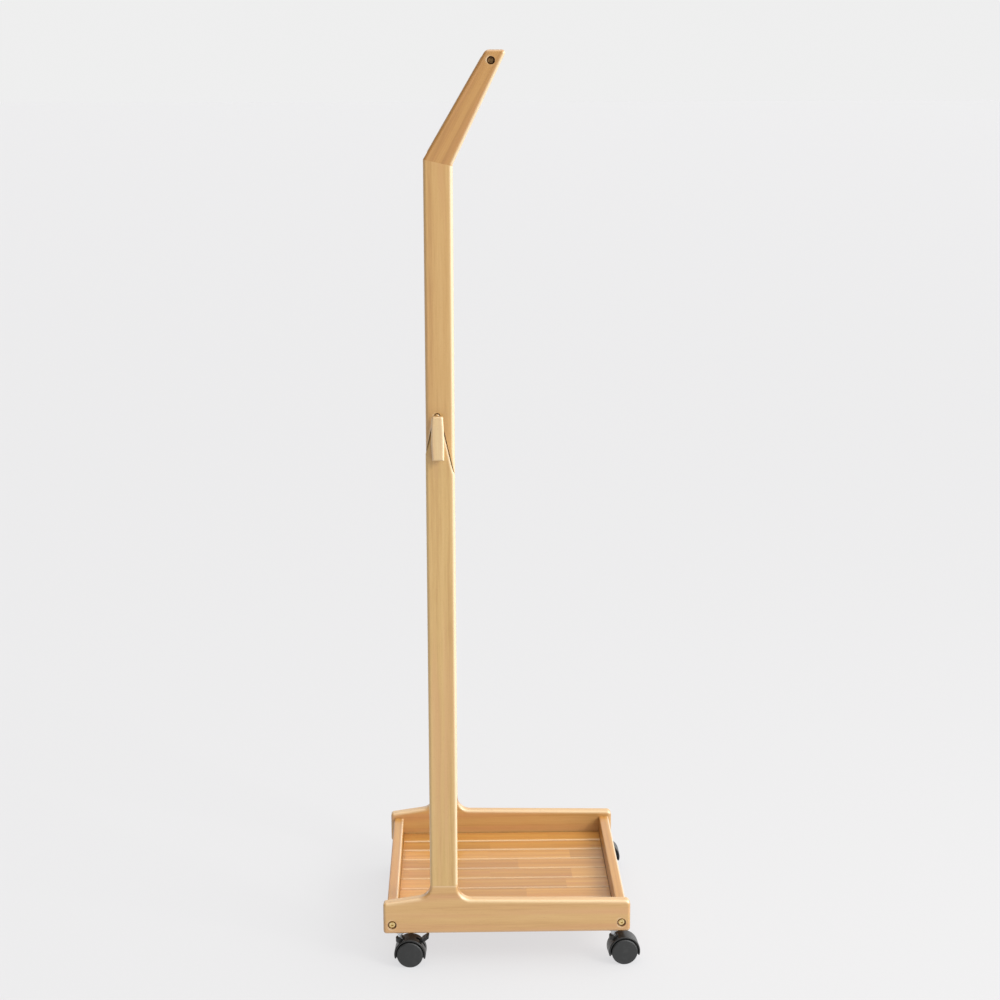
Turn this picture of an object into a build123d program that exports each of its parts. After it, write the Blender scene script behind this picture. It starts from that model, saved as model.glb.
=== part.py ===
from build123d import *
import os
from math import cos, hypot, radians, sin

# Rolling clothes rack: two wooden side frames, a hanging bar across their tops, a slatted tray
# between their base rails, and four twin-wheel casters. Millimetres, +Z up, +X to the front
# (the side that the arms lean to), +Y along the hanging bar, to the rack's left side.
# The side outlines are drawn with x from the rails' back end and z from the floor, and
# everything is moved at the end so that the origin is under the middle of the rack's box.

# ---- overall ----
overall_height = 1500.0
overall_width = 432.0          # over the outer faces of the two side frames
board = 20.0                   # thickness of the side frames
edge_round = 5.0               # roundover along the side frames' long edges

# ---- base rails ----
rail_length = 414.0
rail_bottom = 57.0
rail_back_height = 53.5        # at the back end
rail_front_height = 54.7       # at the front end
rail_back_rise = 11.7          # the top edge climbs this much from the back end to the post
rail_front_rise = 4.6          # and this much from the front end to the post
rail_low_corner = 5.2
rail_back_corner = 5.6
rail_front_corner = 8.0
back_fillet = 22.0             # hollow curve between the rail and the post's back
front_fillet = 24.0            # the same at the post's front
stub_height = 85.0             # glue line of the post, above the rail's underside

# ---- posts, splice and arms ----
post_back = 79.2               # post's back face, from the rail's back end
post_width = 45.8
upper_back_step = 0.8          # the upper post is this much narrower, at its back
splice_front_height = 841.0    # the half-lapped splice starts here at the post's front, and inside
splice_back_height = 873.0     # and here at its back
tongue_point_height = 959.0    # where the sides of the lower post's tongue would meet
tongue_point_reach = 18.9      # that point past the post's back face
tongue_nose = 5.4              # radius of the tongue's end
bend_back_height = 1335.0
bend_front_height = 1325.0
arm_back_reach = 98.2          # the arm's back edge meets its flat top this far past the post's back
arm_front_reach = 85.3         # the arm's front corner, past the post's front
arm_back_corner = 10.0
arm_front_corner = 5.2

# ---- hanging bar ----
bar_diameter = 25.0
bar_reach = 106.3              # bar's axis past the post's back face
bar_drop = 16.2                # bar's axis below the arm's flat top
bar_counterbore = 12.5
bar_counterbore_depth = 8.0
insert_diameter = 9.0
insert_length = 20.0
insert_inset = 0.5             # threaded insert below the bar's end face

# ---- tray ----
end_board = 17.5               # thickness of the tray's front and back boards
end_board_height = 45.5
end_board_inset = 6.0          # outer face from the rails' ends
end_board_round = 2.5
slat_count = 9
slat_width = 41.5
slat_thickness = 8.0
slat_round = 3.0
slat_side_clearance = 0.6      # beside the outermost slats
slat_end_clearance = 0.5
cleat_width = 20.0
batten_width = 30.0
cleat_thickness = 8.0
cleat_end_clearance = 1.0

# ---- fasteners ----
bolt_diameter = 6.0
bolt_head = 11.5
bolt_head_thickness = 3.6
bolt_socket = 4.0              # across flats of the hexagon socket
bolt_socket_depth = 2.4
bolt_hole_clearance = 0.2      # radial, in the wood
frame_bolt_height = 16.0       # above the rail's underside
frame_bolt_length = 50.0
frame_counterbore = 15.0
frame_counterbore_depth = 5.0
bar_bolt_length = 28.0
barrel_nut_diameter = 10.0
barrel_nut_length = 16.0
barrel_nut_inset = 26.0        # from the end board's end
dowel_diameter = 8.0
dowel_length = 30.0
tray_dowel_height = 34.0       # above the rail's underside
tray_dowel_in_rail = 10.0
post_dowel_spacing = 22.0
arm_dowel_spacing = 18.0
screw_diameter = 3.5
screw_head = 7.0
screw_head_depth = 2.0
screw_tip = 2.0
slat_screw_length = 14.0
hook_screw_length = 33.0
screw_slot = 0.8
screw_slot_depth = 1.0

# ---- bag hooks ----
hook_bottom = 866.0
hook_height = 71.0
hook_width = 19.8              # at its widest, two thirds of the way up
hook_foot_width = 18.6
hook_head_width = 17.4
hook_set_back = 2.6            # middle of the hook's foot behind the middle of the post
hook_lean = 0.7                # the hook's upper part stands this much further back
hook_depth = 20.0
hook_gap = 9.0                 # width of the slot behind the hook
hook_foot = 36.0               # height of the foot under the slot
hook_round = 3.2
hook_screw_low = 9.0           # screw heights above the hook's underside
hook_screw_pitch = 15.0

# ---- casters ----
caster_inset = 27.5            # stem from the rail's end
trail = 17.2                   # axle behind the stem
wheel_diameter = 44.0
wheel_width = 12.4
wheel_face_round = 2.8
wheel_dome = 0.8
wheel_flat = 2.0               # radius of the flat middle of the domed face
hood_clearance = 2.0           # between a wheel's tread and the hood
hood_wall = 2.5
hood_width = 31.0
hood_skirt = 6.5               # the hood's ends reach this far below the axle
hood_round = 1.8
web = 12.0                     # plate between the two wheels
web_skirt = 9.0
wheel_side_clearance = 0.6
axle_diameter = 6.0
axle_length = 29.0
axle_clearance = 0.05
stem_diameter = 8.0
stem_clearance = 0.05
stem_in_hood = 22.0
stem_flange = 13.0
stem_flange_thickness = 2.0
boss_diameter = 14.6
boss_gap = 7.0                 # bare stem between the flange and the hood's boss
socket_diameter = 11.0
socket_length = 36.0
lever_pivot = (14.0, 14.5)     # from the axle: back and up
lever_neck = 6.0
lever_neck_clearance = 0.3
lever_pad = 14.0
trunnion = 3.0
trunnion_clearance = 0.05
trunnion_reach = 5.4
# swivel angle at rest of each caster, from trailing to the front
casters = {
    "rear_right": {"end": "rear", "side": -1, "angle": -3.0, "brake": True},
    "front_right": {"end": "front", "side": -1, "angle": 4.0, "brake": False},
    "rear_left": {"end": "rear", "side": 1, "angle": -12.0, "brake": True},
    "front_left": {"end": "front", "side": 1, "angle": 0.0, "brake": False},
}

# ---- places worked out from them ----
frame_y = overall_width / 2 - board / 2          # middle of a side frame's thickness
inner_y = overall_width / 2 - board              # inner face of a side frame
post_front = post_back + post_width
post_mid = post_back + post_width / 2
upper_back = post_back + upper_back_step
stub_top = rail_bottom + stub_height
bolt_from_end = end_board_inset + end_board / 2
bolt_xs = (bolt_from_end, rail_length - bolt_from_end)
frame_bolt_z = rail_bottom + frame_bolt_height
tray_dowel_z = rail_bottom + tray_dowel_height
bar_x = post_back + bar_reach
bar_z = overall_height - bar_drop
caster_xs = {"rear": caster_inset, "front": rail_length - caster_inset}
wheel_radius = wheel_diameter / 2
cleat_top = rail_bottom + cleat_thickness
slat_top = cleat_top + slat_thickness
hook_mid = post_mid - hook_set_back
hood_outer = wheel_radius + hood_clearance + hood_wall
mitre = Vector(upper_back, 0, bend_back_height), Vector(post_front, 0, bend_front_height)
outer_face = -board / 2                          # in a side frame's own plane, drawn at y = 0

nodes = {}


def face_xz(*outline):
    """A closed side outline, given as (x, z) points, as a face on the XZ plane."""
    return Plane.XZ * make_face(Polyline(*outline, close=True))


def plate(face, thickness):
    """A side outline made a board, centred on y = 0."""
    return extrude(face, thickness / 2, both=True)


def rod(diameter, start, end):
    """A round bar from one point to another."""
    axis = Vector(end) - Vector(start)
    return extrude(Plane(Vector(start), z_dir=axis) * Circle(diameter / 2), axis.length)


def box_between(low, high):
    """A box from its lowest to its highest corner."""
    size = [b - a for a, b in zip(low, high)]
    middle = [(a + b) / 2 for a, b in zip(low, high)]
    return Pos(*middle) * Box(*size)


def cross_edges(solid, corners):
    """The edges across a board's thickness at the given (x, z) corners."""
    return [
        edge for edge in solid.edges().filter_by(Axis.Y)
        if any(hypot(edge.center().X - x, edge.center().Z - z) < 0.5 for x, z in corners)
    ]


def flat_edges(solid, keep=lambda point: True):
    """The edges of a board's outline, on both of its faces."""
    return [
        edge for edge in solid.edges()
        if edge.bounding_box().size.Y < 0.01 and abs(edge.center().Y) > 0.1 and keep(edge.center())
    ]


def both_sides(name, solid):
    """Adds a piece drawn at y = 0, outer face towards -Y, to both side frames."""
    nodes["right_" + name] = Pos(0, -frame_y, 0) * solid
    nodes["left_" + name] = Pos(0, frame_y, 0) * mirror(solid, about=Plane.XZ)


def on_both_sides(solids):
    """Copies of small pieces drawn at y = 0, in both side frames."""
    placed = [Pos(0, -frame_y, 0) * solid for solid in solids]
    placed += [Pos(0, frame_y, 0) * mirror(solid, about=Plane.XZ) for solid in solids]
    return placed


def bolt(length):
    """Button-head bolt along +Y with its head's seat at y = 0."""
    head = rod(bolt_head, (0, -bolt_head_thickness, 0), (0, 0, 0))
    rim = head.edges().filter_by(GeomType.CIRCLE).sort_by(Axis.Y)[0]
    head = fillet(rim, bolt_head_thickness * 0.55)
    socket = Plane((0, -bolt_head_thickness, 0), z_dir=(0, 1, 0)) * RegularPolygon(
        bolt_socket / 2, 6, major_radius=False)
    shank = chamfer(rod(bolt_diameter, (0, -0.5, 0), (0, length, 0)).edges().sort_by(Axis.Y)[-1], 0.8)
    return head + shank - extrude(socket, bolt_socket_depth)


def wood_screw(length):
    """Countersunk screw along +Z with the top of its head at z = 0, tip up."""
    half = (
        (0, 0), (screw_head / 2, 0), (screw_diameter / 2, screw_head_depth),
        (screw_diameter / 2, length - screw_tip), (0, length),
    )
    return revolve(Plane.XZ * make_face(Polyline(*half, close=True)), Axis.Z)


def cross_recess():
    """Cutter for the cross in a screw's head, centred on the head's face."""
    arm = screw_head * 0.55
    return Box(arm, screw_slot, 2 * screw_slot_depth) + Box(screw_slot, arm, 2 * screw_slot_depth)


# ---- blanks of a side frame's boards ----
rail_back_top = rail_bottom + rail_back_height
rail_front_top = rail_bottom + rail_front_height
splice_trim = 40.0             # drawn length of a blank past its own end, cut off at the joint
tongue_corners = [(post_front, splice_front_height),
                  (post_back + tongue_point_reach, tongue_point_height),
                  (post_back, splice_back_height)]


def lower_blank():
    """Base rail and lower post in one board, pointed at the top, before they are parted at the stub."""
    rail_meets_post_front = rail_front_top + rail_front_rise
    rail_meets_post_back = rail_back_top + rail_back_rise
    blank = plate(face_xz(
        (0, rail_bottom), (rail_length, rail_bottom), (rail_length, rail_front_top),
        (post_front, rail_meets_post_front), *tongue_corners,
        (post_back, rail_meets_post_back), (0, rail_back_top),
    ), board)
    blank = fillet(cross_edges(blank, [(0, rail_bottom), (rail_length, rail_bottom)]), rail_low_corner)
    blank = fillet(cross_edges(blank, [(0, rail_back_top)]), rail_back_corner)
    blank = fillet(cross_edges(blank, [(rail_length, rail_front_top)]), rail_front_corner)
    blank = fillet(cross_edges(blank, [(post_back, rail_meets_post_back)]), back_fillet)
    blank = fillet(cross_edges(blank, [(post_front, rail_meets_post_front)]), front_fillet)
    blank = fillet(cross_edges(blank, tongue_corners[1:2]), tongue_nose)
    return fillet(flat_edges(blank), edge_round)


def upper_post_blank():
    """Upper post as a straight board, longer than the post at both ends."""
    bottom = splice_front_height - splice_trim
    top = bend_back_height + splice_trim
    blank = plate(face_xz((upper_back, bottom), (post_front, bottom), (post_front, top), (upper_back, top)),
                  board)
    return fillet(flat_edges(blank, lambda p: bottom + 1 < p.Z < top - 1), edge_round)


def arm_blank():
    """Top arm, with its two straight edges drawn on below the bend."""
    arm_back = Vector(post_back + arm_back_reach, 0, overall_height)
    arm_front = Vector(post_front + arm_front_reach, 0, overall_height)
    back_low = mitre[0] - (arm_back - mitre[0]).normalized() * splice_trim
    front_low = mitre[1] - (arm_front - mitre[1]).normalized() * splice_trim
    corners = [(p.X, p.Z) for p in (back_low, front_low, arm_front, arm_back)]
    blank = plate(face_xz(*corners), board)
    blank = fillet(cross_edges(blank, corners[3:]), arm_back_corner)
    blank = fillet(cross_edges(blank, corners[2:3]), arm_front_corner)
    low_end = (back_low + front_low) * 0.5
    return fillet(flat_edges(blank, lambda p: p.Z > low_end.Z + 5), edge_round)


def below_splice():
    """What the upper post leaves to the lower one: its tongue in the outer half, and all below."""
    outline = face_xz((post_back, 0), (post_front, 0), *tongue_corners)
    tongue = Pos(0, outer_face / 2, 0) * plate(outline, board / 2)
    tongue = fillet(cross_edges(tongue, tongue_corners[1:2]), tongue_nose)
    return tongue + box_between((post_back, 0, 0), (post_front, -outer_face, splice_front_height))


def above_mitre():
    """Everything above the glue line at the bend."""
    low, high = mitre
    slope = (high - low).normalized()
    up = Vector(-slope.Z, 0, slope.X)
    reach = overall_height
    points = (low - slope * reach, high + slope * reach)
    outline = [points[0], points[1], points[1] + up * reach, points[0] + up * reach]
    return plate(face_xz(*[(p.X, p.Z) for p in outline]), board * 2)


# ---- small pieces that hold the side frames together ----
mitre_mid = (mitre[0] + mitre[1]) * 0.5
mitre_slope = (mitre[1] - mitre[0]).normalized()
mitre_up = Vector(-mitre_slope.Z, 0, mitre_slope.X)
arm_dowels = [
    rod(dowel_diameter, mitre_mid + mitre_slope * s - mitre_up * (dowel_length / 2),
        mitre_mid + mitre_slope * s + mitre_up * (dowel_length / 2))
    for s in (-arm_dowel_spacing / 2, arm_dowel_spacing / 2)
]
post_dowels = [
    rod(dowel_diameter, (post_mid + s, 0, stub_top - dowel_length / 2),
        (post_mid + s, 0, stub_top + dowel_length / 2))
    for s in (-post_dowel_spacing / 2, post_dowel_spacing / 2)
]
tray_dowels = [
    rod(dowel_diameter, (x, -outer_face - tray_dowel_in_rail, tray_dowel_z),
        (x, -outer_face - tray_dowel_in_rail + dowel_length, tray_dowel_z))
    for x in bolt_xs
]
hook_screw_places = [
    Pos(hook_mid, -outer_face, hook_bottom + hook_screw_low + i * hook_screw_pitch) * Rot(90, 0, 0)
    for i in range(2)
]
hook_screws = [place * wood_screw(hook_screw_length) for place in hook_screw_places]
frame_bolt_seat = outer_face + frame_counterbore_depth
bar_bolt_seat = outer_face + bar_counterbore_depth


def bolt_hole(x, z, counterbore, seat):
    """Through hole and counterbore, from the outer face."""
    hole = rod(bolt_diameter + 2 * bolt_hole_clearance, (x, outer_face - 1, z), (x, 1 - outer_face, z))
    return hole + rod(counterbore, (x, outer_face - 1, z), (x, seat, z))


# ---- side frames ----
def side_frames():
    lower = lower_blank()
    shaft = below_splice()
    top_part = above_mitre()
    rail_part = box_between((-1, outer_face - 1, 0), (rail_length + 1, 1 - outer_face, stub_top))

    rail = lower & rail_part
    for x in bolt_xs:
        rail -= bolt_hole(x, frame_bolt_z, frame_counterbore, frame_bolt_seat)
    for x in caster_xs.values():
        rail -= rod(socket_diameter, (x, 0, rail_bottom - 1), (x, 0, rail_bottom + socket_length))
    rail = rail - post_dowels - tray_dowels
    both_sides("base_rail", rail)

    both_sides("lower_post", ((lower - rail_part) & shaft) - post_dowels - hook_screws)

    upper_post = upper_post_blank() - shaft - top_part
    both_sides("upper_post", upper_post - arm_dowels - hook_screws)

    arm = (arm_blank() & top_part) - bolt_hole(bar_x, bar_z, bar_counterbore, bar_bolt_seat)
    both_sides("top_arm", arm - arm_dowels)


def bag_hook():
    """Upright block with a slot behind it, open at the top, fixed by its foot."""
    low = hook_bottom
    high = hook_bottom + hook_height
    wide_z = low + hook_height * 0.68
    widths = ((low, hook_foot_width, 0), (wide_z, hook_width, hook_lean), (high, hook_head_width, hook_lean))
    (z1, w1, s1), (z2, w2, s2), (z3, w3, s3) = widths
    back = ThreePointArc((hook_mid - s1 - w1 / 2, z1), (hook_mid - s2 - w2 / 2, z2),
                         (hook_mid - s3 - w3 / 2, z3))
    front = ThreePointArc((hook_mid - s3 + w3 / 2, z3), (hook_mid - s2 + w2 / 2, z2),
                          (hook_mid - s1 + w1 / 2, z1))
    outline = Plane.XZ * make_face([back, Line(back @ 1, front @ 0), front, Line(front @ 1, back @ 0)])
    block = plate(outline, 4 * hook_depth)

    slot_z = low + hook_foot
    throat = hook_gap / 2
    profile = [
        Line((0, low), (0, slot_z)),
        ThreePointArc((0, slot_z), (throat, slot_z - throat), (hook_gap, slot_z)),
        Line((hook_gap, slot_z), (hook_gap + 1.5, high)),
        Line((hook_gap + 1.5, high), (hook_depth - 1, high)),
        Line((hook_depth - 1, high), (hook_depth, low + hook_height * 0.8)),
        Line((hook_depth, low + hook_height * 0.8), (hook_depth - 1, low)),
        Line((hook_depth - 1, low), (0, low)),
    ]
    side = Plane((0, outer_face, 0), x_dir=(0, -1, 0), z_dir=(-1, 0, 0)) * make_face(profile)
    hook = block & extrude(side, 2 * post_front, both=True)
    front_y = outer_face - hook_depth + 1.2
    rounded = [
        edge for edge in hook.edges()
        if edge.center().Y < front_y or (edge.center().Z > high - 0.5 and edge.bounding_box().size.Y > 1)
    ]
    hook = fillet(rounded, hook_round)
    both_sides("bag_hook", hook - hook_screws)


def frame_hardware():
    """Fasteners and dowels of the side frames, one group of each kind."""
    frame_bolts = [Pos(x, frame_bolt_seat, frame_bolt_z) * bolt(frame_bolt_length) for x in bolt_xs]
    bar_bolts = [Pos(bar_x, bar_bolt_seat, bar_z) * bolt(bar_bolt_length)]
    nut_y = -outer_face + barrel_nut_inset
    barrel_nuts = [
        rod(barrel_nut_diameter, (x, nut_y, frame_bolt_z - barrel_nut_length / 2),
            (x, nut_y, frame_bolt_z + barrel_nut_length / 2))
        - rod(bolt_diameter, (x, nut_y - barrel_nut_diameter, frame_bolt_z),
              (x, nut_y + barrel_nut_diameter, frame_bolt_z))
        for x in bolt_xs
    ]
    insert_start = -outer_face + insert_inset
    bar_inserts = [
        rod(insert_diameter, (bar_x, insert_start, bar_z), (bar_x, insert_start + insert_length, bar_z))
        - rod(bolt_diameter, (bar_x, 0, bar_z), (bar_x, board + insert_length, bar_z))
    ]
    sockets = [
        rod(socket_diameter, (x, 0, rail_bottom), (x, 0, rail_bottom + socket_length))
        - rod(stem_diameter, (x, 0, rail_bottom - 1), (x, 0, rail_bottom + socket_length + 1))
        for x in caster_xs.values()
    ]
    groups = {
        "frame_bolts": frame_bolts, "bar_bolts": bar_bolts, "barrel_nuts": barrel_nuts,
        "bar_inserts": bar_inserts, "caster_sockets": sockets, "post_dowels": post_dowels,
        "arm_dowels": arm_dowels, "tray_dowels": tray_dowels,
        "hook_screws": [place * (wood_screw(hook_screw_length) - cross_recess())
                        for place in hook_screw_places],
    }
    for name, solids in groups.items():
        nodes[name] = Compound(on_both_sides(solids))


# ---- hanging bar ----
def hanging_bar():
    bar = rod(bar_diameter, (bar_x, -inner_y, bar_z), (bar_x, inner_y, bar_z))
    depth = insert_inset + insert_length
    bores = [
        rod(insert_diameter, (bar_x, side * inner_y, bar_z), (bar_x, side * (inner_y - depth), bar_z))
        for side in (-1, 1)
    ]
    bolt_end = bar_bolt_length + bar_counterbore_depth - board
    if bolt_end > depth:
        bores += [
            rod(bolt_diameter, (bar_x, side * inner_y, bar_z), (bar_x, side * (inner_y - bolt_end), bar_z))
            for side in (-1, 1)
        ]
    nodes["hanging_bar"] = bar - bores


# ---- tray ----
def tray():
    inner_back = end_board_inset + end_board
    inner_front = rail_length - inner_back
    slat_span = 2 * (inner_y - slat_side_clearance)
    pitch = (slat_span - slat_width) / (slat_count - 1)
    slat_ys = [-slat_span / 2 + slat_width / 2 + i * pitch for i in range(slat_count)]
    cleat_y = inner_y - cleat_end_clearance
    supports = {
        "rear_cleat": (inner_back, inner_back + cleat_width),
        "middle_batten": ((rail_length - batten_width) / 2, (rail_length + batten_width) / 2),
        "front_cleat": (inner_front - cleat_width, inner_front),
    }

    screw_places = [Pos((low_x + high_x) / 2, y, rail_bottom)
                    for low_x, high_x in supports.values() for y in slat_ys]
    screws = [place * wood_screw(slat_screw_length) for place in screw_places]
    headed = wood_screw(slat_screw_length) - cross_recess()
    nodes["slat_screws"] = Compound([place * headed for place in screw_places])

    for name, (low_x, high_x) in supports.items():
        strip = box_between((low_x, -cleat_y, rail_bottom), (high_x, cleat_y, cleat_top))
        nodes[name] = strip - [s for s in screws if low_x < s.center().X < high_x]

    for i, y in enumerate(slat_ys):
        slat = box_between(
            (inner_back + slat_end_clearance, y - slat_width / 2, cleat_top),
            (inner_front - slat_end_clearance, y + slat_width / 2, slat_top),
        )
        top_edges = slat.edges().filter_by(Axis.X).filter_by(lambda e: e.center().Z > slat_top - 0.1)
        slat = fillet(top_edges, slat_round)
        nodes[f"tray_slat_{i + 1}"] = slat - [s for s in screws if abs(s.center().Y - y) < 1]

    nut_y = inner_y - barrel_nut_inset
    for name, low_x in (("rear_end_board", end_board_inset), ("front_end_board", inner_front)):
        mid_x = low_x + end_board / 2
        piece = box_between((low_x, -inner_y, rail_bottom),
                            (low_x + end_board, inner_y, rail_bottom + end_board_height))
        piece = fillet(piece.edges().filter_by(Axis.Y), end_board_round)
        bolt_reach = frame_bolt_length + frame_counterbore_depth - board + 2
        dowel_reach = dowel_length - tray_dowel_in_rail
        for side in (-1, 1):
            hole = bolt_diameter + 2 * bolt_hole_clearance
            piece -= rod(hole, (mid_x, side * (inner_y + 1), frame_bolt_z),
                         (mid_x, side * (inner_y - bolt_reach), frame_bolt_z))
            piece -= rod(dowel_diameter, (mid_x, side * inner_y, tray_dowel_z),
                         (mid_x, side * (inner_y - dowel_reach), tray_dowel_z))
            piece -= rod(barrel_nut_diameter, (mid_x, side * nut_y, rail_bottom - 1),
                         (mid_x, side * nut_y, frame_bolt_z + barrel_nut_length / 2))
        nodes[name] = piece


# ---- casters, drawn with the stem on the Z axis and the axle trailing towards +X ----
axle = Vector(trail, 0, wheel_radius)
boss_top = rail_bottom - stem_flange_thickness - boss_gap
stem_low = boss_top - stem_in_hood


def hood_face(radius, floor_z):
    """A disc about the axle, cut off level below."""
    disc = Pos(axle.X, axle.Z) * Circle(radius)
    cut = Pos(axle.X, floor_z - radius) * Rectangle(4 * radius, 2 * radius)
    return Plane.XZ * (disc - cut)


def lever_outline(points):
    """A closed outline given from the axle, back and up."""
    return face_xz(*[(axle.X + x, axle.Z + z) for x, z in points])


def caster_hood(brake):
    inner = hood_outer - hood_wall
    shell = plate(hood_face(hood_outer, axle.Z - hood_skirt), hood_width)
    rims = [e for e in flat_edges(shell) if e.geom_type == GeomType.CIRCLE]
    shell = fillet(rims, hood_round)
    shell -= plate(hood_face(inner, 0), hood_width + 2)
    plate_between = plate(hood_face(hood_outer - hood_wall / 2, axle.Z - web_skirt), web)
    boss = rod(boss_diameter, (0, 0, axle.Z + wheel_radius * 0.84), (0, 0, boss_top))
    boss = fillet(boss.edges().sort_by(Axis.Z)[-1], 1.0)
    hood = shell + plate_between + boss
    hood -= rod(stem_diameter + 2 * stem_clearance, (0, 0, stem_low - 1), (0, 0, boss_top + 1))
    hood -= rod(axle_diameter, axle - Vector(0, web, 0), axle + Vector(0, web, 0))
    if brake:
        slot_width = lever_neck + 2 * lever_neck_clearance
        far = hood_outer + 4
        wedge = [(0, 0), (far * cos(radians(16)), far * sin(radians(16))), (far, far),
                 (far * cos(radians(68)), far * sin(radians(68)))]
        hollow = lever_outline(wedge) & (Plane.XZ * (Pos(axle.X, axle.Z) * (Circle(far) - Circle(15.2))))
        hood -= plate(hollow, slot_width)
        x, z = axle.X + lever_pivot[0], axle.Z + lever_pivot[1]
        hood -= rod(trunnion + 2 * trunnion_clearance, (x, -web, z), (x, web, z))
    return hood


def brake_lever():
    """Pad outside the hood, neck through its slot, and trunnions that turn in its web."""
    pad = plate(lever_outline([(18.6, 23.6), (28.0, 30.2), (31.4, 30.2), (31.4, 26.4), (24.6, 20.8)]),
                lever_pad)
    pad = fillet(pad.edges().filter_by(Axis.Y), 1.0)
    neck = plate(lever_outline([(18.9, 24.0), (24.4, 21.0), (17.4, 12.6), (11.0, 16.8)]), lever_neck)
    x, z = axle.X + lever_pivot[0], axle.Z + lever_pivot[1]
    knuckle = rod(7.6, (x, -lever_neck / 2, z), (x, lever_neck / 2, z))
    pins = rod(trunnion, (x, -trunnion_reach, z), (x, trunnion_reach, z))
    return pad + neck + knuckle + pins


def caster_wheel(side):
    """One wheel, closed on its outer face, with a blind bore for the axle."""
    inner_face = web / 2 + wheel_side_clearance
    outer = inner_face + wheel_width
    rim = wheel_radius
    bore = axle_diameter / 2 + axle_clearance
    bore_end = axle_length / 2 + 0.5
    shoulder = (rim - wheel_face_round, outer - wheel_dome)
    round_mid = wheel_face_round * (1 - cos(radians(45)))
    profile = [
        Line((0, outer), (0, bore_end)),
        Line((0, bore_end), (bore, bore_end)),
        Line((bore, bore_end), (bore, inner_face)),
        Line((bore, inner_face), (rim - 1, inner_face)),
        Line((rim - 1, inner_face), (rim, inner_face + 1)),
        Line((rim, inner_face + 1), (rim, outer - wheel_dome - wheel_face_round)),
        ThreePointArc((rim, outer - wheel_dome - wheel_face_round),
                      (rim - round_mid, outer - wheel_dome - round_mid), shoulder),
        ThreePointArc(shoulder, ((shoulder[0] + wheel_flat) * 0.52, outer - wheel_dome * 0.26),
                      (wheel_flat, outer)),
        Line((wheel_flat, outer), (0, outer)),
    ]
    half = Plane.XY * make_face(profile)
    wheel = Pos(axle.X, 0, axle.Z) * revolve(half, Axis.Y)
    return wheel if side > 0 else mirror(wheel, about=Plane.XZ)


def caster_stem():
    """Pin from inside the hood's boss, through its flange, to the top of the socket."""
    flange = rod(stem_flange, (0, 0, rail_bottom - stem_flange_thickness), (0, 0, rail_bottom))
    pin = rod(stem_diameter, (0, 0, stem_low), (0, 0, rail_bottom + socket_length - 1))
    pin = chamfer(pin.edges().filter_by(GeomType.CIRCLE), 0.8)
    return pin + flange


def caster_pieces():
    for corner, place in casters.items():
        spot = Pos(caster_xs[place["end"]], place["side"] * frame_y, 0) * Rot(0, 0, place["angle"])
        nodes[f"{corner}_caster_stem"] = spot * caster_stem()
        nodes[f"{corner}_caster_hood"] = spot * caster_hood(place["brake"])
        half = Vector(0, axle_length / 2, 0)
        nodes[f"{corner}_caster_axle"] = spot * rod(axle_diameter, axle - half, axle + half)
        for name, side in (("a", -1), ("b", 1)):
            nodes[f"{corner}_wheel_{name}"] = spot * caster_wheel(side)
        if place["brake"]:
            nodes[f"{corner}_brake_lever"] = spot * brake_lever()


side_frames()
bag_hook()
frame_hardware()
hanging_bar()
tray()
caster_pieces()

# ---- origin under the middle of the whole rack ----
whole = Compound([solid for piece in nodes.values() for solid in piece.solids()]).bounding_box()
origin_x = (whole.min.X + whole.max.X) / 2
origin_y = (whole.min.Y + whole.max.Y) / 2

os.makedirs("parts", exist_ok=True)
for name, piece in nodes.items():
    export_step(Pos(-origin_x, -origin_y, -whole.min.Z) * piece, f"parts/{name}.step")
print("pieces", len(nodes), "size", whole.size, "origin", origin_x, origin_y, whole.min.Z)
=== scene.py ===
import math
import random

import bpy
from mathutils import Matrix, Vector

# Rolling clothes rack: side frames, tray and hanging bar of clear-lacquered rubberwood, brass-plated
# and bronzed furniture bolts, and black moulded twin-wheel casters. All shapes are the frame's own;
# this script gives each piece its finish, and sets the floor, the lights and the camera.

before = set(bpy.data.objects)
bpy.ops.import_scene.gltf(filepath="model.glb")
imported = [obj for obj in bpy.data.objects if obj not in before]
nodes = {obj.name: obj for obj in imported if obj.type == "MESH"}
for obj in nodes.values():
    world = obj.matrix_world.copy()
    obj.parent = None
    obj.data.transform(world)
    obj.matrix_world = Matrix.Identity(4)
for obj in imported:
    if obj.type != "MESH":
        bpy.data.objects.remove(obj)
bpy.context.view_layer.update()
chance = random.Random(5)

MM = 0.001
LONG = Vector((1, 0, 0))        # along the base rails
WIDE = Vector((0, 1, 0))        # along the hanging bar
UP = Vector((0, 0, 1))
# the painted highlight on the arrises falls on the sides that face this way, toward the light
LIGHT_SIDE = Vector((0.9, -0.35, 0.25))   # the way that the rack faces, from the wall out
arm_lean = math.radians(28.4)   # the arms lean this far to the front
ARM = Vector((math.sin(arm_lean), 0, math.cos(arm_lean)))


def linear(code):
    """An sRGB hex colour as the linear RGBA that the shaders work in."""
    parts = [int(code[i:i + 2], 16) / 255 for i in (0, 2, 4)]
    return tuple(p / 12.92 if p <= 0.04045 else ((p + 0.055) / 1.055) ** 2.4 for p in parts) + (1.0,)


def add(tree, kind, inputs=None, **settings):
    """Adds a node: its settings, then its inputs, each a value or another node's output."""
    node = tree.nodes.new(kind)
    for name, value in settings.items():
        setattr(node, name, value)
    for name, value in (inputs or {}).items():
        if isinstance(value, bpy.types.NodeSocket):
            tree.links.new(value, node.inputs[name])
        else:
            node.inputs[name].default_value = value
    return node


def new_finish(name):
    """An empty material, its node tree and its shader, which is joined to the output."""
    finish = bpy.data.materials.new(name)
    finish.use_nodes = True
    tree = finish.node_tree
    tree.nodes.clear()
    shader = add(tree, "ShaderNodeBsdfPrincipled")
    add(tree, "ShaderNodeOutputMaterial", {"Surface": shader.outputs[0]})
    return finish, tree, shader


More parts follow.
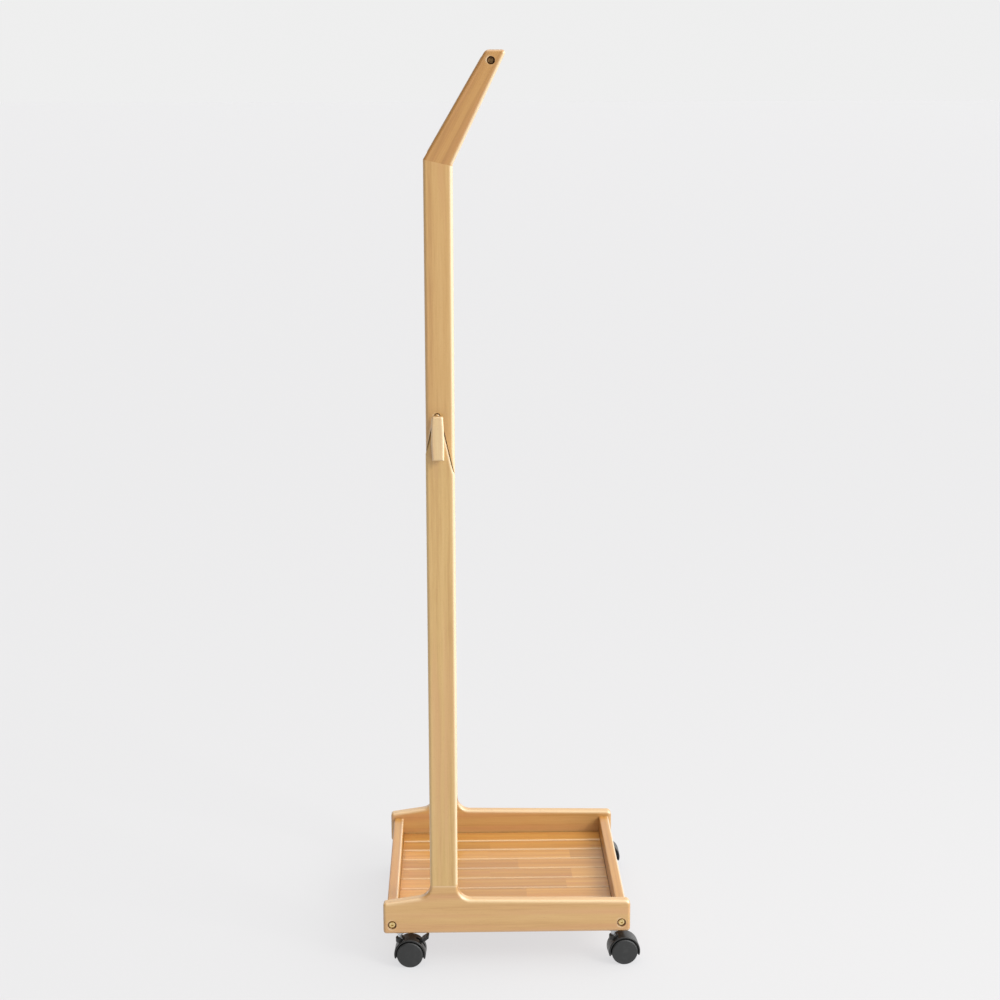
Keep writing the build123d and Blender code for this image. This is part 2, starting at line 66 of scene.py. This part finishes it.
def paint(piece, finish):
    """Puts one finish on every slot of a piece."""
    for place in piece.material_slots:
        place.material = finish


# ---------------------------------------------------------------- rubberwood
# Rubberwood, planed, sanded and clear-lacquered: a pale straw wood with broad pinkish and yellowish
# streaks, growth rings that hardly show, short dark pores along the grain, and a satin sheen.
ring_width = 7 * MM
ring_wave_length = 500 * MM     # the rings wander slowly along a board,
ring_wave_width = 40 * MM
ring_wave_depth = 16 * MM       # by up to this much
pith_aside = 40 * MM            # the tree's middle lies up to this far aside from a piece's origin,
pith_depth = (50 * MM, 90 * MM)     # and this far above or below it
finger_half_width = 2 * MM      # a finger joint's teeth
finger_slope = 3.0              # their length over that
streak_width = 13 * MM
streak_length = 420 * MM
fibre_width = 1.6 * MM          # real fibres are finer, drawn as coarse as they need to be to show
fibre_length = 60 * MM
pore_width = 0.45 * MM          # about twice the real ones, for the same reason
pore_length = 5 * MM
# width of the painted highlight along the rounded edges
highlight_band_width = 7 * MM            # the sanded band along an edge
# gaps narrower than this get painted shade
shade_gap_width = 4 * MM                # gaps narrower than this hold dust
# colour of the painted highlight on the arrises
painted_highlight_tone = "efdcb8"
# colour of the painted shade in counterbores and narrow gaps
painted_shade_tone = "4a2a12"
open_grain_tone = "93602f"
board_tones = {                 # shaded fibre, middle, pale fibre, pink streak
    "rail": ("b9884c", "cda164", "d7af74", "cd9666"),
    "post": ("b88c4f", "cca666", "d6b276", "cc9c69"),
    "upper": ("b28348", "c69b5c", "d0a96c", "c4905b"),
    "arm": ("a6743a", "ba8848", "c59654", "ba7e4c"),
    # the tray's tones are darker and more orange than the frame's: partly their own tone, partly painted
    # shade and warm bounce from inside the tray
    "tray": ("a66f2e", "ba843e", "c7954c", "b87d43"),
    "hook": ("c9a36c", "d8ba88", "e0c898", "d8b084"),
}


def rubberwood(name, grain, face, tones, gloss=1.0, piece_length=None, piece_contrast=0.0):
    """Rubberwood with its fibres along grain, on a board whose wide side faces along face.

    gloss is how much of the lacquer shows. piece_length and piece_contrast are for a board glued up
    from shorter pieces, end to end: their length, and how much they differ in depth of colour.
    """
    finish, tree, shader = new_finish(name)
    shade, middle, pale, pink = (linear(code) for code in tones)
    side = face.cross(grain)
    where = add(tree, "ShaderNodeTexCoord")

    def layered(base, *layers):
        """A base with patterns laid over it, each with its weight."""
        total = base
        for pattern, weight in layers:
            total = add(tree, "ShaderNodeMath", {0: pattern, 1: weight, 2: total},
                        operation="MULTIPLY_ADD").outputs[0]
        return total

    run, across, depth = (
        add(tree, "ShaderNodeVectorMath", {0: where.outputs["Object"], 1: direction},
            operation="DOT_PRODUCT").outputs["Value"]
        for direction in (grain, side, face))
    start = [chance.uniform(-5, 5) for _ in range(3)]
    in_board = add(tree, "ShaderNodeCombineXYZ", {0: run, 1: across, 2: depth}).outputs[0]
    shifted = add(tree, "ShaderNodeVectorMath", {0: in_board, 1: start}).outputs[0]
    piece = None
    if piece_length:
        # finger joints: straight across the wide side, and a zigzag on the board's thin edges
        zigzag = add(tree, "ShaderNodeMath", {0: depth, 1: finger_half_width},
                     operation="PINGPONG").outputs[0]
        ragged = layered(run, (zigzag, finger_slope))
        count = layered(start[0], (ragged, 1 / piece_length))
        whole = add(tree, "ShaderNodeMath", {0: count}, operation="FLOOR").outputs[0]
        piece = add(tree, "ShaderNodeTexWhiteNoise", {"W": whole}, noise_dimensions="1D")
        shifted = add(tree, "ShaderNodeVectorMath", {0: piece.outputs["Color"], 1: (3, 3, 3), 2: shifted},
                      operation="MULTIPLY_ADD").outputs[0]

    def drawn(length, width, detail, roughness=0.5):
        stretched = add(tree, "ShaderNodeVectorMath", {0: shifted, 1: (1 / length, 1 / width, 1 / width)},
                        operation="MULTIPLY").outputs[0]
        return add(tree, "ShaderNodeTexNoise",
                   {"Vector": stretched, "Scale": 1.0, "Detail": detail, "Roughness": roughness}).outputs[0]

    # growth rings round a pith off to one side, a little wavy along the grain
    pith = (0, chance.uniform(-pith_aside, pith_aside),
            chance.choice((-1, 1)) * chance.uniform(*pith_depth))
    flat = add(tree, "ShaderNodeVectorMath", {0: in_board, 1: (0, 1, 1), 2: pith},
               operation="MULTIPLY_ADD").outputs[0]
    radius = add(tree, "ShaderNodeVectorMath", {0: flat}, operation="LENGTH").outputs["Value"]
    wavy = layered(radius, (drawn(ring_wave_length, ring_wave_width, 2.0), ring_wave_depth))
    ring_count = layered(start[1], (wavy, 1 / ring_width))
    rings = add(tree, "ShaderNodeTexNoise", {"W": ring_count, "Scale": 1.0, "Detail": 2.0},
                noise_dimensions="1D").outputs[0]
    streaks = drawn(streak_length, streak_width, 3.0)
    fibres = drawn(fibre_length, fibre_width, 3.0, 0.6)
    pores = add(tree, "ShaderNodeMapRange",
                {"Value": drawn(pore_length, pore_width, 1.0), "From Min": 0.66, "From Max": 0.78}).outputs[0]

    figure = layered(-0.06, (rings, 0.36), (streaks, 0.4), (fibres, 0.36))
    body = add(tree, "ShaderNodeValToRGB", {"Fac": figure})
    body.color_ramp.elements[0].position = 0.3
    body.color_ramp.elements[0].color = shade
    body.color_ramp.elements[1].position = 0.72
    body.color_ramp.elements[1].color = pale
    body.color_ramp.elements.new(0.5).color = middle
    flush = add(tree, "ShaderNodeMapRange",
                {"Value": drawn(streak_length, streak_width * 1.3, 2.0), "From Min": 0.5, "From Max": 0.68,
                 "To Max": 0.55}).outputs[0]
    colour = add(tree, "ShaderNodeMix", {0: flush, 6: body.outputs[0], 7: pink}, data_type="RGBA").outputs[2]
    if piece:
        depth_of_tone = layered(1 - piece_contrast / 2, (piece.outputs["Value"], piece_contrast))
        colour = add(tree, "ShaderNodeVectorMath", {0: colour, "Scale": depth_of_tone},
                     operation="SCALE").outputs[0]

    # painted highlight: the rounded arrises are painted paler on the sides that face the light, standing in
    # for the lacquer's sheen there
    eased = add(tree, "ShaderNodeBevel", {"Radius": highlight_band_width}, samples=6).outputs[0]
    turn = add(tree, "ShaderNodeVectorTransform", {0: eased}, vector_type="NORMAL",
               convert_from="WORLD", convert_to="OBJECT").outputs[0]
    to_face, to_side, to_light = (
        add(tree, "ShaderNodeVectorMath", {0: turn, 1: direction}, operation="DOT_PRODUCT").outputs["Value"]
        for direction in (face, side, LIGHT_SIDE))
    both = add(tree, "ShaderNodeMath", {0: to_face, 1: to_side}, operation="MULTIPLY").outputs[0]
    corner = add(tree, "ShaderNodeMath", {0: both}, operation="ABSOLUTE").outputs[0]
    arris = add(tree, "ShaderNodeMapRange", {"Value": corner, "From Min": 0.08, "From Max": 0.45},
                interpolation_type="SMOOTHSTEP").outputs[0]
    facing_light = add(tree, "ShaderNodeMapRange", {"Value": to_light, "From Min": 0.05, "From Max": 0.8,
                                                "To Max": 0.75}).outputs[0]
    highlight_mask = add(tree, "ShaderNodeMath", {0: arris, 1: facing_light}, operation="MULTIPLY").outputs[0]
    colour = add(tree, "ShaderNodeMix", {0: highlight_mask, 6: colour, 7: linear(painted_highlight_tone)},
                 data_type="RGBA").outputs[2]

    # painted shade: the counterbores and narrow gaps are darkened by how enclosed they are
    openness = add(tree, "ShaderNodeAmbientOcclusion", {"Distance": shade_gap_width}, samples=6).outputs["AO"]
    shade_mask = add(tree, "ShaderNodeMapRange", {"Value": openness, "From Min": 0.15, "From Max": 0.45,
                                             "To Min": 0.8, "To Max": 0.0}).outputs[0]
    colour = add(tree, "ShaderNodeMix", {0: shade_mask, 6: colour, 7: linear(painted_shade_tone)},
                 data_type="RGBA").outputs[2]

    # end grain drinks the lacquer and turns darker
    facing = add(tree, "ShaderNodeVectorMath", {0: where.outputs["Normal"], 1: grain},
                 operation="DOT_PRODUCT").outputs["Value"]
    square = add(tree, "ShaderNodeMath", {0: facing, 1: facing}, operation="MULTIPLY").outputs[0]
    end_grain = add(tree, "ShaderNodeMapRange", {"Value": square, "From Min": 0.35, "From Max": 0.9,
                                                 "To Max": 0.45}).outputs[0]
    marks = layered(end_grain, (pores, 0.4))
    colour = add(tree, "ShaderNodeMix", {0: marks, 6: colour, 7: linear(open_grain_tone)}, data_type="RGBA",
                 clamp_factor=True).outputs[2]

    height = layered(0.0, (fibres, 0.3), (pores, -0.6))
    bump = add(tree, "ShaderNodeBump", {"Height": height, "Strength": 0.25, "Distance": 0.15 * MM})
    roughness = layered(0.3, (fibres, 0.16), (pores, 0.2))
    tree.links.new(colour, shader.inputs["Base Color"])
    tree.links.new(roughness, shader.inputs["Roughness"])
    tree.links.new(bump.outputs[0], shader.inputs["Normal"])
    shader.inputs["IOR"].default_value = 1.5
    shader.inputs["Coat Weight"].default_value = gloss
    shader.inputs["Coat Roughness"].default_value = 0.16
    return finish


def lay_wood():
    """Each board gets wood of its own, with its fibres along its length."""
    for hand in ("right", "left"):
        boards = (
            ("base_rail", LONG, "rail"), ("lower_post", UP, "post"), ("upper_post", UP, "upper"),
            ("top_arm", ARM, "arm"), ("bag_hook", UP, "hook"),
        )
        for board, grain, tones in boards:
            name = f"{hand}_{board}"
            paint(nodes[name], rubberwood(f"rubberwood {name}", grain, WIDE, board_tones[tones]))
    across = (("hanging_bar", "upper"), ("rear_end_board", "tray"), ("front_end_board", "tray"),
              ("rear_cleat", "tray"), ("middle_batten", "tray"), ("front_cleat", "tray"))
    for name, tones in across:
        face = LONG if "board" in name else UP
        paint(nodes[name], rubberwood(f"rubberwood {name}", WIDE, face, board_tones[tones], gloss=0.6))
    for name in sorted(nodes):
        if name.startswith("tray_slat"):
            slat_wood = rubberwood(f"finger-jointed {name}", LONG, UP, board_tones["tray"], gloss=0.4,
                                   piece_length=chance.uniform(140, 230) * MM, piece_contrast=0.22)
            paint(nodes[name], slat_wood)
    # dowels are beech, a plain pale wood; they sit hidden in their holes
    dowel_wood = rubberwood("beech dowel", UP, WIDE, board_tones["hook"])
    for name in ("post_dowels", "arm_dowels", "tray_dowels"):
        paint(nodes[name], dowel_wood)


# ---------------------------------------------------------------- caster plastics
def moulded_plastic(name, colour, worn, grit, roughness, scuff_length):
    """Black injection-moulded nylon: near black, satin, with a fine spark-eroded grain and faint scuffs."""
    finish, tree, shader = new_finish(name)
    where = add(tree, "ShaderNodeTexCoord").outputs["Object"]
    grain = add(tree, "ShaderNodeTexNoise", {"Vector": where, "Scale": 1 / grit, "Detail": 2.0}).outputs[0]
    cloud = add(tree, "ShaderNodeTexNoise", {"Vector": where, "Scale": 1 / scuff_length, "Detail": 4.0,
                                             "Roughness": 0.65}).outputs[0]
    scuffs = add(tree, "ShaderNodeMapRange", {"Value": cloud, "From Min": 0.5, "From Max": 0.75}).outputs[0]
    body = add(tree, "ShaderNodeMix", {0: scuffs, 6: linear(colour), 7: linear(worn)}, data_type="RGBA")
    dull = add(tree, "ShaderNodeMath", {0: scuffs, 1: 0.12, 2: roughness}, operation="MULTIPLY_ADD")
    bump = add(tree, "ShaderNodeBump", {"Height": grain, "Strength": 0.2, "Distance": 0.08 * MM})
    tree.links.new(body.outputs[2], shader.inputs["Base Color"])
    tree.links.new(dull.outputs[0], shader.inputs["Roughness"])
    tree.links.new(bump.outputs[0], shader.inputs["Normal"])
    shader.inputs["IOR"].default_value = 1.53
    return finish


# ---------------------------------------------------------------- metals
tarnish_cloud = 3 * MM
turning_mark = 0.4 * MM         # real ones are finer, drawn as coarse as they need to be to show


def plated_metal(name, colour, tarnish, roughness, spread):
    """Plated steel: a thin bright metal skin, with slow clouds of tarnish and fine turning marks."""
    finish, tree, shader = new_finish(name)
    where = add(tree, "ShaderNodeTexCoord").outputs["Object"]
    cloud = add(tree, "ShaderNodeTexNoise", {"Vector": where, "Scale": 1 / tarnish_cloud,
                                             "Detail": 3.0}).outputs[0]
    marks = add(tree, "ShaderNodeTexNoise", {"Vector": where, "Scale": 1 / turning_mark,
                                             "Detail": 1.0}).outputs[0]
    skin = add(tree, "ShaderNodeMapRange", {"Value": cloud, "From Min": 0.4, "From Max": 0.7}).outputs[0]
    body = add(tree, "ShaderNodeMix", {0: skin, 6: linear(colour), 7: linear(tarnish)}, data_type="RGBA")
    dull = add(tree, "ShaderNodeMath", {0: cloud, 1: spread, 2: roughness}, operation="MULTIPLY_ADD")
    bump = add(tree, "ShaderNodeBump", {"Height": marks, "Strength": 0.15, "Distance": 0.04 * MM})
    tree.links.new(body.outputs[2], shader.inputs["Base Color"])
    tree.links.new(dull.outputs[0], shader.inputs["Roughness"])
    tree.links.new(bump.outputs[0], shader.inputs["Normal"])
    shader.inputs["Metallic"].default_value = 1.0
    return finish


def finish_casters_and_fasteners():
    """Nylon for the casters, and a plating for each kind of fastener and pin."""
    # hoods and levers stay glossier than the wheels, which the floor rubs dull and a little grey
    hood_nylon = moulded_plastic("black hood nylon", "181817", "2a2a29", grit=0.6 * MM, roughness=0.36,
                                 scuff_length=14 * MM)
    wheel_nylon = moulded_plastic("black wheel nylon", "262727", "343535", grit=0.8 * MM, roughness=0.45,
                                  scuff_length=10 * MM)
    # thin brass over bright steel is a pale, warm yellow
    brass = plated_metal("brass plating", "f2dca2", "cda96a", roughness=0.18, spread=0.1)
    # bronzing is a brown chemical skin on steel, in lighter and darker clouds
    bronze = plated_metal("bronzed steel", "94764f", "4a3424", roughness=0.26, spread=0.15)
    # zinc is a cool silver, a little cloudy
    zinc = plated_metal("zinc plating", "cdd0d3", "a2a6aa", roughness=0.24, spread=0.14)
    for name, piece in nodes.items():
        if "caster_hood" in name or "brake_lever" in name:
            paint(piece, hood_nylon)
        elif "wheel" in name:
            paint(piece, wheel_nylon)
        elif name == "frame_bolts":
            paint(piece, brass)
        elif name == "bar_bolts":
            paint(piece, bronze)
        elif any(word in name for word in ("stem", "axle", "screws", "nuts", "inserts", "sockets")):
            paint(piece, zinc)


# ---------------------------------------------------------------- studio
def floor():
    """A wide sheet of pale matt studio paper, lit from below so that the shadows on it stay faint."""
    reach = 400.0               # metres, so far that its edge lies on the horizon
    paper_fibre = 4 * MM
    mesh = bpy.data.meshes.new("studio floor")
    mesh.from_pydata([(-reach, -reach, 0), (reach, -reach, 0), (reach, reach, 0), (-reach, reach, 0)],
                     [], [(0, 1, 2, 3)])
    sheet = bpy.data.objects.new("studio_floor", mesh)
    bpy.context.scene.collection.objects.link(sheet)
    paper, tree, shader = new_finish("matt studio paper")
    where = add(tree, "ShaderNodeTexCoord").outputs["Object"]
    fibre = add(tree, "ShaderNodeTexNoise", {"Vector": where, "Scale": 1 / paper_fibre,
                                             "Detail": 2.0}).outputs[0]
    tint = add(tree, "ShaderNodeMix", {0: fibre, 6: linear("646361"), 7: linear("686765")}, data_type="RGBA")
    tree.links.new(tint.outputs[2], shader.inputs["Base Color"])
    shader.inputs["Emission Color"].default_value = linear("eeeef0")
    shader.inputs["Emission Strength"].default_value = 0.77
    shader.inputs["Roughness"].default_value = 0.9
    shader.inputs["Specular IOR Level"].default_value = 0.1
    mesh.materials.append(paper)


def softbox(name, place, aim, width, height, power):
    """A flat soft light, aimed at a point."""
    lamp = bpy.data.lights.new(name, "AREA")
    lamp.shape = "RECTANGLE"
    lamp.size = width
    lamp.size_y = height
    lamp.energy = power
    holder = bpy.data.objects.new(name, lamp)
    bpy.context.scene.collection.objects.link(holder)
    holder.location = place
    holder.rotation_euler = (Vector(aim) - Vector(place)).to_track_quat("-Z", "Y").to_euler()


def daylight():
    """White light from all round: dim behind the rack, dimmed a little on its right side, where the
    camera stands, and bright in front of it and overhead."""
    world = bpy.data.worlds.new("white studio")
    world.use_nodes = True
    tree = world.node_tree
    tree.nodes.clear()
    way = add(tree, "ShaderNodeTexCoord").outputs["Generated"]
    parts = add(tree, "ShaderNodeSeparateXYZ", {0: way})
    sideways = add(tree, "ShaderNodeMapRange", {"Value": parts.outputs["X"], "From Min": -1.0})
    walls = add(tree, "ShaderNodeValToRGB", {"Fac": sideways.outputs[0]})
    # from behind the rack (0) round to its front (1), each with its brightness
    levels = ((0.0, 0.12), (0.28, 0.35), (0.36, 0.86), (0.64, 0.86), (0.74, 1.4), (1.0, 3.0))
    ramp = walls.color_ramp
    for place, _ in levels[1:-1]:
        ramp.elements.new(place)
    for stop, (place, level) in zip(ramp.elements, levels):
        stop.position = place
        stop.color = (level, level, level, 1.0)
    camera_side = add(tree, "ShaderNodeMapRange", {"Value": parts.outputs["Y"], "From Min": -0.7,
                                                   "From Max": 0.1, "To Min": 0.62}).outputs[0]
    shaded = add(tree, "ShaderNodeVectorMath", {0: walls.outputs[0], "Scale": camera_side},
                 operation="SCALE")
    ceiling = add(tree, "ShaderNodeMapRange", {"Value": parts.outputs["Z"], "From Min": 0.72,
                                               "From Max": 0.95, "To Max": 1.2},
                  interpolation_type="SMOOTHSTEP")
    total = add(tree, "ShaderNodeVectorMath", {0: shaded.outputs[0], 1: ceiling.outputs[0]})
    sky = add(tree, "ShaderNodeBackground", {"Color": total.outputs[0]})
    add(tree, "ShaderNodeOutputWorld", {"Surface": sky.outputs[0]})
    bpy.context.scene.world = world


def take_aim():
    """Camera at chest height, square to the rack's right side, looking slightly down."""
    lens = bpy.data.cameras.new("camera")
    lens.lens = 69.4
    camera = bpy.data.objects.new("camera", lens)
    bpy.context.scene.collection.objects.link(camera)
    stand = Vector((-0.0834, -3.2288, 1.4327))
    down, turned, tipped = (math.radians(angle) for angle in (11.88, 1.24, -0.17))
    camera.matrix_world = (
        Matrix.Translation(stand) @ Matrix.Rotation(-turned, 4, "Z")
        @ Matrix.Rotation(math.pi / 2 - down, 4, "X") @ Matrix.Rotation(tipped, 4, "Z")
    )
    bpy.context.scene.camera = camera


lay_wood()
finish_casters_and_fasteners()
floor()
daylight()
softbox("front_window", place=(2.6, -2.0, 2.4), aim=(0, 0, 0.8), width=1.2, height=1.6, power=75)
bpy.context.scene.view_settings.view_transform = "Standard"
take_aim()
